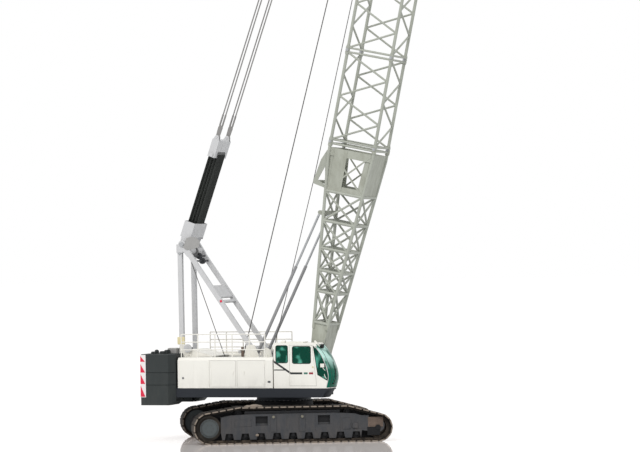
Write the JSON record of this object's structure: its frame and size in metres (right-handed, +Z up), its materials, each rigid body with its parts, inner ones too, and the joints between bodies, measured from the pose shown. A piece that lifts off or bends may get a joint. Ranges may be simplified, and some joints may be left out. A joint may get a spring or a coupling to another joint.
{
  "type": "crawler crane",
  "caption": "Lattice-boom crawler crane: turntable upper works with cab, gantry and stay system on two tracks, boom raised, hook high.",
  "frame": {"origin": "on the ground under the swing axis", "axes": "+X the way the boom points, +Y the crane's left, +Z up; the tracks stand turned below the upper works"},
  "size_m": [14.4047, 7.3961, 38.1717],
  "materials": {
    "house_white": "satin enamel",
    "rail_cream": "satin enamel",
    "boom_grey": "satin enamel",
    "rigging_grey": "satin enamel",
    "frame_slate": "semi-matt enamel",
    "backstop_grey": "satin enamel",
    "bright_rod": "ground",
    "weight_dark": "matt paint over casting",
    "track_steel": "worn, dusty",
    "bearing_steel": "greased",
    "drum_steel": "machined",
    "rope_steel": "greased wire",
    "engine_grey": "painted casting",
    "glass_green": "tinted",
    "seat_fabric": "woven",
    "hook_paint": "satin enamel",
    "hook_steel": "forged"
  },
  "bodies": {
    "undercarriage": {"carbody": "frame_slate", "swing_ring": "bearing_steel", "side_frame_right": "frame_slate", "side_frame_left": "frame_slate", "track_right": "track_steel", "track_left": "track_steel", "drive_sprockets": "frame_slate", "idlers": "track_steel", "rollers": "track_steel"},
    "upper": {"upper_frame": "frame_slate", "boom_foot_brackets": "frame_slate", "house_right": "house_white", "house_left": "house_white", "counterweight": "weight_dark", "engine": "engine_grey", "roof_deck": "house_white", "handrails": "rail_cream", "cab_shell": "house_white", "cab_glass": "glass_green", "cab_seat": "seat_fabric", "gantry_mast": "rigging_grey", "gantry_legs": "rigging_grey"},
    "boom": {"boom_butt": "boom_grey", "boom_insert_short": "boom_grey", "boom_insert_medium": "boom_grey", "boom_insert_long": "boom_grey", "boom_tip": "boom_grey", "guide_rollers": "boom_grey"},
    "tip_sheaves": {"tip_sheaves": "bearing_steel"},
    "hook_block": {"hook_falls": "rope_steel", "hook_block": "hook_paint"},
    "hook": {"hook": "hook_steel"},
    "stay": {"gantry_bail": "rigging_grey", "reeving": "rope_steel"},
    "bridle": {"bridle_block": "rigging_grey", "pendants": "rope_steel"},
    "backstop_barrels": {"backstop_barrels": "backstop_grey"},
    "backstop_rods": {"backstop_rods": "bright_rod"},
    "cab_door": {"cab_door": "house_white", "cab_door_glass": "glass_green"},
    "front_drum": {"front_drum": "drum_steel"},
    "rear_drum": {"rear_drum": "drum_steel"},
    "boom_hoist_drum": {"boom_hoist_drum": "drum_steel"},
    "service_door_left_rear": {"service_door_left_rear": "house_white"},
    "service_door_left_front": {"service_door_left_front": "house_white"},
    "service_door_right_rear": {"service_door_right_rear": "house_white"},
    "service_door_right_front": {"service_door_right_front": "house_white"}
  },
  "joints": [
    {"name": "swing", "type": "hinge", "parent": "undercarriage", "child": "upper", "pos_m": [0, 0, 1.3], "axis": [0, 0, 1], "continuous": true},
    {"name": "boom_luff", "type": "hinge", "parent": "upper", "child": "boom", "pos_m": [1.18, 0, 2.21], "axis": [0, 1, 0], "range_deg": [-3.5, 48]},
    {"name": "tip_sheave_spin", "type": "hinge", "parent": "boom", "child": "tip_sheaves", "pos_m": [9.59473, 0, 37.71894], "axis": [0, 1, 0], "continuous": true},
    {"name": "hook_block_swing", "type": "hinge", "parent": "boom", "child": "hook_block", "pos_m": [9.59473, 0, 37.71894], "axis": [0, 1, 0], "range_deg": [-48, 3.5]},
    {"name": "hook_swivel", "type": "hinge", "parent": "hook_block", "child": "hook", "pos_m": [9.59473, 0, 31.41895], "axis": [0, 0, 1], "continuous": true},
    {"name": "stay_swing", "type": "hinge", "parent": "upper", "child": "stay", "pos_m": [-3.27, 0, 6.5], "axis": [0, 1, 0], "range_deg": [-3.51, 48.11]},
    {"name": "bridle_travel", "type": "slide", "parent": "stay", "child": "bridle", "axis": [0.3277, 0, 0.9448], "range_m": [-0.3666, 5.0278], "deforming": ["reeving"]},
    {"name": "backstop_swing", "type": "hinge", "parent": "upper", "child": "backstop_barrels", "pos_m": [-0.75, 0, 2.8], "axis": [0, 1, 0], "range_deg": [-2.94, 40.33]},
    {"name": "backstop_travel", "type": "slide", "parent": "backstop_barrels", "child": "backstop_rods", "axis": [0.4344, 0, 0.9007], "range_m": [-0.105, 1.4403]},
    {"name": "cab_door_hinge", "type": "hinge", "parent": "upper", "child": "cab_door", "pos_m": [0.73, -1.559, 2.4], "axis": [0, 0, -1], "range_deg": [0, 95]},
    {"name": "front_drum_spin", "type": "hinge", "parent": "upper", "child": "front_drum", "pos_m": [-0.2, 0, 2.29], "axis": [0, 1, 0], "continuous": true},
    {"name": "rear_drum_spin", "type": "hinge", "parent": "upper", "child": "rear_drum", "pos_m": [-1.25, 0, 2.29], "axis": [0, 1, 0], "continuous": true},
    {"name": "boom_hoist_drum_spin", "type": "hinge", "parent": "upper", "child": "boom_hoist_drum", "pos_m": [-2.2, 0, 2.29], "axis": [0, 1, 0], "continuous": true},
    {"name": "service_door_left_rear_hinge", "type": "hinge", "parent": "upper", "child": "service_door_left_rear", "pos_m": [-2.06, 1.559, 2.2], "axis": [0, 0, 1], "range_deg": [0, 100]},
    {"name": "service_door_left_front_hinge", "type": "hinge", "parent": "upper", "child": "service_door_left_front", "pos_m": [-0.14, 1.559, 2.2], "axis": [0, 0, -1], "range_deg": [0, 100]},
    {"name": "service_door_right_rear_hinge", "type": "hinge", "parent": "upper", "child": "service_door_right_rear", "pos_m": [-2.06, -1.559, 2.2], "axis": [0, 0, -1], "range_deg": [0, 100]},
    {"name": "service_door_right_front_hinge", "type": "hinge", "parent": "upper", "child": "service_door_right_front", "pos_m": [-0.14, -1.559, 2.2], "axis": [0, 0, 1], "range_deg": [0, 100]}
  ],
  "couplings": [
    {"joint": "hook_block_swing", "follows": "boom_luff", "ratio": -1},
    {"joint": "stay_swing", "follows": "boom_luff", "ratio": 1.0023},
    {"joint": "bridle_travel", "follows": "boom_luff", "m_per_rad": 6.0014},
    {"joint": "backstop_swing", "follows": "boom_luff", "ratio": 0.8403},
    {"joint": "backstop_travel", "follows": "boom_luff", "m_per_rad": 1.7192}
  ]
}
